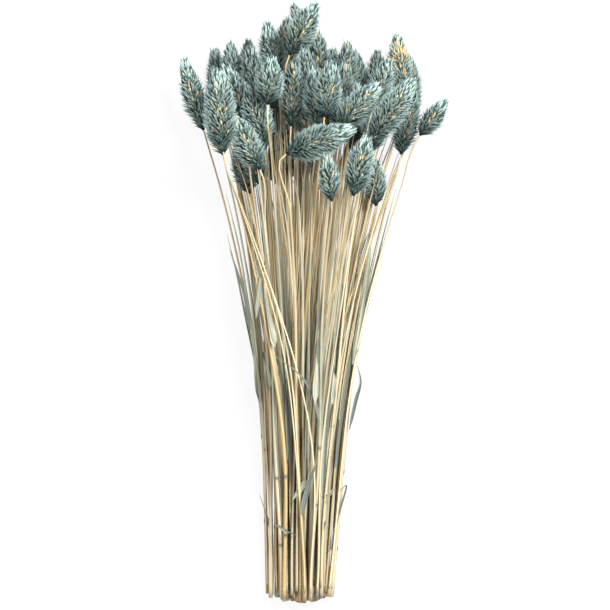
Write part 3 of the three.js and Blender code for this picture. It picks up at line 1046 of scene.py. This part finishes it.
@dataclass
class LeafSheaf(Growth):
    """The leaf blades of one layer."""

    layer: int
    leaves: list[LeafLine]
    thickness: float = 0.22 * MM
    stations: int = 30
    fold: float = 0.62
    tip_width: float = 0.25 * MM
    columns: tuple[float, ...] = (-1.0, -0.5, 0.0, 0.5, 1.0)
    grain_across: float = 5.0
    grain_apart: float = 90.0
    grain_along: float = 12.0

    def blade(self, leaf: LeafLine) -> Surface:
        """One blade: a strip carried along its line, folded along its midrib and turned as it goes.

        Across the strip the surface is the fold's height times the absolute place across; the under side is
        the same, a thickness lower. The width swells from the root and falls to a point.

        Args:
            leaf: The leaf.

        Returns:
            The blade.
        """
        s = np.linspace(0.0, 1.0, self.stations)
        line = through_points(leaf.points, s)
        along, side, over = frames_along(line)
        turn = (leaf.twist * s + 0.25 * np.sin(7 * s + 30 * leaf.tone))[:, None]
        flat = np.cos(turn) * side + np.sin(turn) * over
        up = np.cross(flat, along)
        swell = (0.2 + 0.8 * smooth(0.0, 0.14, s)) * (1 - s**2.2)
        swell = swell * (1 + 0.12 * np.sin(11 * s + 20 * leaf.tone))
        half = 0.5 * (leaf.width * swell + self.tip_width)[:, None, None]
        across = np.array(self.columns)
        rise = self.fold * (np.abs(across) - 0.4)
        top = line[:, None] + half * (across[:, None] * flat[:, None] + rise[:, None] * up[:, None])
        ring = np.concatenate([top, top[:, ::-1] - self.thickness * up[:, None]], axis=1)
        place = np.concatenate([across, across[::-1]]) * 0.5 + 0.5
        marks = np.ones((*ring.shape[:2], 4))
        marks[..., 0] = s[:, None]
        marks[..., 1] = place
        marks[..., 2] = leaf.tone
        grain = np.empty_like(ring)
        grain[..., 0] = self.grain_across * place
        grain[..., 1] = self.grain_apart * leaf.tone
        grain[..., 2] = self.grain_along * line[:, None, 1]
        triangles = tube_triangles(self.stations, 2 * len(self.columns))
        return Surface(ring.reshape(-1, 3), triangles, marks.reshape(-1, 4), grain.reshape(-1, 3))

    def build(self) -> Object:
        """All the blades of the layer as one piece, in place of the layer's solid."""
        whole = joined([self.blade(leaf) for leaf in self.leaves])
        return whole.piece("leaves", f"stems_{self.layer + 1}", Slot.STRAW, False)


@dataclass
class LeafPlan:
    """Where the leaves run: beside each stem, between stems, under the heads and on top of the bunch.

    The leaves under the heads are near black, painted shade in the gaps between them. Each is given by its
    width and its points from root to tip, in millimetres, and a top leaf by its tone as well.
    """

    stalks: list[Stalk]
    shift: Array
    shape: StemShape = field(default_factory=StemShape)
    strip_reach: float = 0.4
    strip_lean: float = 0.05
    strip_sway: float = 0.5 * MM
    strip_width: float = 2.1 * MM
    between_width: float = 2.1 * MM
    between_each: int = 2
    least_height: float = 1.0 * MM
    root_sink: float = 1.5 * MM
    top_reach: float = 0.9
    top_broader: float = 1.15
    deep_height: float = 13 * MM
    deep_leaves: tuple[tuple[float, Plan], ...] = (
        (19.0, ((-15, 312), (-18, 340), (-20, 366), (-22, 406))),
        (14.0, ((11, 312), (15, 340), (18, 364), (20, 400))),
        (15.0, ((31, 312), (36, 335), (40, 356), (46, 392))),
        (12.0, ((-4, 318), (-3, 344), (-2, 372), (0, 404))),
    )
    top_leaves: tuple[tuple[float, float, Plan], ...] = (
        (2.0, 0.05, ((-40, 205), (-44, 230), (-50, 250), (-56, 268))),
        (1.8, 0.12, ((46, 214), (51, 236), (55.5, 251))),
        (4.2, 0.34, ((37.5, 179), (44, 220), (49, 255), (52, 284))),
        (2.2, 0.18, ((35, 130), (40, 152), (43.5, 166), (41, 179))),
        (1.8, 0.15, ((12.8, 134), (7.5, 157), (-4.5, 174), (-23, 187.5))),
        (2.4, 0.30, ((-35, 214), (-31, 246), (-26, 262))),
        (1.4, 0.10, ((43, 262), (46, 270), (49.5, 279))),
        (3.2, 0.20, ((-1, 66), (4, 88), (10.5, 107))),
        (3.6, 0.38, ((3, 92), (-3, 84), (-8, 77))),
        (3.2, 0.30, ((11, 77), (19.5, 81), (24, 87))),
        (1.8, 0.20, ((21, 39), (26, 62), (33, 87), (26, 81))),
        (3.4, 0.24, ((11, 46), (14, 54), (18, 63))),
        (1.4, 0.40, ((-23.5, 46), (-27, 63), (-33, 81))),
        (1.8, 0.15, ((-20, 58.5), (-12.8, 54), (-4.5, 50))),
        (4.6, 0.50, ((-21, 193), (-25, 212), (-29, 240))),
        (4.4, 0.22, ((-3, 98), (-9, 122), (-15, 150))),
        (4.0, 0.30, ((-2, 98), (1.5, 122), (8, 150))),
        (2.6, 0.52, ((1.0, 196), (1.2, 226), (1.6, 258))),
        (4.0, 0.62, ((15.5, 180), (17.5, 204), (20.5, 230))),
        (4.0, 0.60, ((-25.5, 160), (-28, 180), (-31.5, 200))),
        (3.2, 0.58, ((-33, 150), (-36, 182), (-40.5, 214))),
        (3.6, 0.64, ((-18, 150), (-19.5, 175), (-21.5, 199))),
        (3.2, 0.60, ((9, 150), (10, 178), (11.5, 206))),
        (2.8, 0.66, ((22.5, 150), (24, 172), (26, 195))),
    )

    def strips(self) -> Iterator[LeafLine]:
        """The long leaf beside each stem, from inside its sheath: the stem's line, a lean and a slow sine.

        Yields:
            One leaf line for each stalk.
        """
        steps = np.arange(5.0)
        for stalk in self.stalks:
            start = stalk.sheath_middle - self.shape.sheath_reach / 2
            reach = self.strip_reach * (0.7 + 0.6 * stalk.draw(0.75))
            lean = self.strip_lean * (2 * stalk.draw(0.9) - 1)
            points = self.shape.line(stalk, start + reach * steps / 4)
            sway = self.strip_sway * np.sin(1.7 * steps + stalk.number)
            points[:, 0] += lean * (points[:, 1] - points[0, 1]) + sway
            points[:, 2] -= 0.5 * MM
            width = self.strip_width * (0.55 + 0.7 * stalk.draw(0.6))
            twist = 2.0 * (stalk.draw(0.15) - 0.5)
            yield LeafLine(stalk.layer, points, width, twist, stalk.draw(0.52))

    def between(self) -> Iterator[LeafLine]:
        """Leaves that fill the sheaf between neighbouring stems of a layer, drifting from one to the other.

        Yields:
            The leaf lines.
        """
        for first, second in zip(self.stalks[:-1], self.stalks[1:]):
            if first.layer != second.layer:
                continue
            for turn in range(self.between_each):
                number = 700.0 + first.number + 0.5 * turn
                start = 0.12 + 0.38 * float(draw(number))
                t = np.linspace(start, min(start + 0.3 + 0.25 * float(draw(number + 0.3)), 0.95), 6)
                drift = 0.5 * (draw(number + 0.6) - 0.5) * (t - start)
                points = self.shape.blend(first, second, t, 0.25 + 0.5 * draw(number + 0.4) + drift)
                height = points[:, 2] + 1.2 * MM * np.sin(4 * t + number)
                points[:, 2] = np.maximum(height, self.least_height)
                width = self.between_width * (0.4 + 0.9 * float(draw(number + 0.8)))
                twist = 2.4 * (float(draw(number + 0.15)) - 0.5)
                yield LeafLine(first.layer, points, width, twist, float(draw(number + 0.9)))

    def under_heads(self) -> Iterator[LeafLine]:
        """Broad blades low under the heads, coloured near black as painted shade in the gaps between heads.

        Yields:
            The leaf lines, each in the lowest layer.
        """
        for width, plan in self.deep_leaves:
            spots = np.array(plan) * MM + self.shift[:2]
            points = np.column_stack([spots, np.full(len(spots), self.deep_height)])
            # Tone 0 gives them the near black painted shade.
            yield LeafLine(0, points, width * MM, 0.2, 0.0)

    def on_top(self) -> Iterator[LeafLine]:
        """The leaves that lie on top, at the height of the highest solid near each of their points.

        Yields:
            The leaf lines, each in the layer of the stem nearest its root.
        """
        sheaves = np.concatenate([node_points(f"stems_{layer + 1}") for layer in range(LAYERS)])
        lines = [self.shape.line(stalk, np.linspace(0, 1, 120)) for stalk in self.stalks]
        for number, (width, tone, plan) in enumerate(self.top_leaves):
            spots = np.array(plan) * MM + self.shift[:2]
            apart = np.linalg.norm(sheaves[None, :, :2] - spots[:, None], axis=-1)
            height = np.where(apart < (0.5 * width + self.top_reach) * MM, sheaves[None, :, 2], -1.0).max(1)
            height[0] = height[1] - self.root_sink
            points = np.column_stack([spots, np.maximum(height, self.least_height)])
            away = [np.abs(line - points[0]).sum(1).min() for line in lines]
            layer = self.stalks[int(np.argmin(away))].layer
            twist = 3.0 * (float(draw(number + 0.2)) - 0.5)
            yield LeafLine(layer, points, self.top_broader * width * MM, twist, tone)


@dataclass(frozen=True)
class Lamp:
    """A square soft light: its name, its place, its side in metres and its power in watts."""

    name: str
    place: Triple
    side: float
    power: float


@dataclass
class Studio:
    """The pale floor, the soft light and the camera straight above."""

    centre: tuple[float, float]
    middle_height: float = 70 * MM
    camera_height: float = 5.0
    sensor: float = 36.0
    sight: float = 50.0
    half_floor: float = 4.0
    floor_colour: Colour = (0.06, 0.06, 0.06)
    floor_light: Colour = (1.0, 1.0, 1.0)
    floor_glow: float = 0.90
    floor_roughness: float = 0.9
    even_light: float = 0.52
    key: Lamp = Lamp("key", (0.60, 0.60, 1.50), 0.6, 62.0)
    fill: Lamp = Lamp("fill", (-1.2, -0.4, 1.4), 1.2, 14.0)

    def floor(self) -> None:
        """A wide pale floor that isn't part of the object, lit from beneath like a light table."""
        mesh = bpy.data.meshes.new("floor")
        far = self.half_floor
        corners = [(-far, -far, 0), (far, -far, 0), (far, far, 0), (-far, far, 0)]
        mesh.from_pydata(corners, [], [(0, 1, 2, 3)])
        floor = bpy.data.objects.new("floor", mesh)
        bpy.context.scene.collection.objects.link(floor)
        wiring = Wiring("pale_floor")
        inputs = {"Base Color": self.floor_colour, "Roughness": self.floor_roughness}
        inputs |= {"Emission Color": self.floor_light, "Emission Strength": self.floor_glow}
        wiring.feed(wiring.shader, inputs)
        mesh.materials.append(wiring.material)

    def hang(self, lamp: Lamp) -> None:
        """Hangs a lamp so that it faces the middle of the bunch.

        Args:
            lamp: The lamp.
        """
        data = bpy.data.lights.new(lamp.name, "AREA")
        data.size = lamp.side
        data.energy = lamp.power
        light = bpy.data.objects.new(lamp.name, data)
        bpy.context.scene.collection.objects.link(light)
        light.location = lamp.place
        aim = Vector((0, 0, self.middle_height)) - light.location
        light.rotation_euler = aim.to_track_quat("-Z", "Y").to_euler()

    def world(self) -> None:
        """Even white light from all round."""
        world = bpy.data.worlds.new("white_room")
        world.use_nodes = True
        background = world.node_tree.nodes["Background"]
        background.inputs["Color"].default_value = (1, 1, 1, 1)
        background.inputs["Strength"].default_value = self.even_light
        bpy.context.scene.world = world

    def camera(self) -> None:
        """A long lens straight above, with the cut ends at the bottom of the picture."""
        data = bpy.data.cameras.new("camera")
        data.sensor_width = self.sensor
        data.lens = self.sensor * (self.camera_height - self.middle_height) / (PICTURE * PIXEL)
        data.clip_end = self.sight
        camera = bpy.data.objects.new("camera", data)
        camera.location = (*self.centre, self.camera_height)
        bpy.context.scene.collection.objects.link(camera)
        bpy.context.scene.camera = camera

    def build(self) -> None:
        """Floor, lights and camera."""
        self.floor()
        self.world()
        self.hang(self.key)
        self.hang(self.fill)
        self.camera()
        bpy.context.scene.view_settings.view_transform = "Standard"


def main() -> None:
    """Builds the heads, the stems, the leaves and the studio."""
    logging.basicConfig(level=logging.INFO, format="%(name)s: %(message)s")
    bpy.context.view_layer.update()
    stalks = read_stalks()
    shift = next(s for s in stalks if s.node == LANDMARK).base - LANDMARK_BASE
    # The second finish is a copy with painted shade, for heads that others lie over.
    open_finish, covered_finish = HeadFinish().material(), HeadFinish(depth=COVERED_DEPTH).material()
    for stalk, hidden in zip(stalks, covered(stalks)):
        head = SeedHead(stalk, straw_top=stalk.node == STRAW_TOPPED)
        head.dress(head.build(), covered_finish if hidden else open_finish)
    straw_finish, leaf_finish = StrawFinish().material(), LeafFinish().material()
    plan = LeafPlan(stalks, shift)
    lines = [*plan.strips(), *plan.between(), *plan.under_heads(), *plan.on_top()]
    for layer in range(LAYERS):
        own, above = ([stalk for stalk in stalks if stalk.layer == level] for level in (layer, layer + 1))
        sheaf = StemSheaf(layer, own, above)
        sheaf.dress(sheaf.build(), straw_finish)
        leaves = LeafSheaf(layer, [line for line in lines if line.layer == layer])
        leaves.dress(leaves.build(), leaf_finish)
    Studio(centre=tuple(shift[:2] + PICTURE_MIDDLE)).build()
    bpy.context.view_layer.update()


if __name__ == "__main__":
    main()
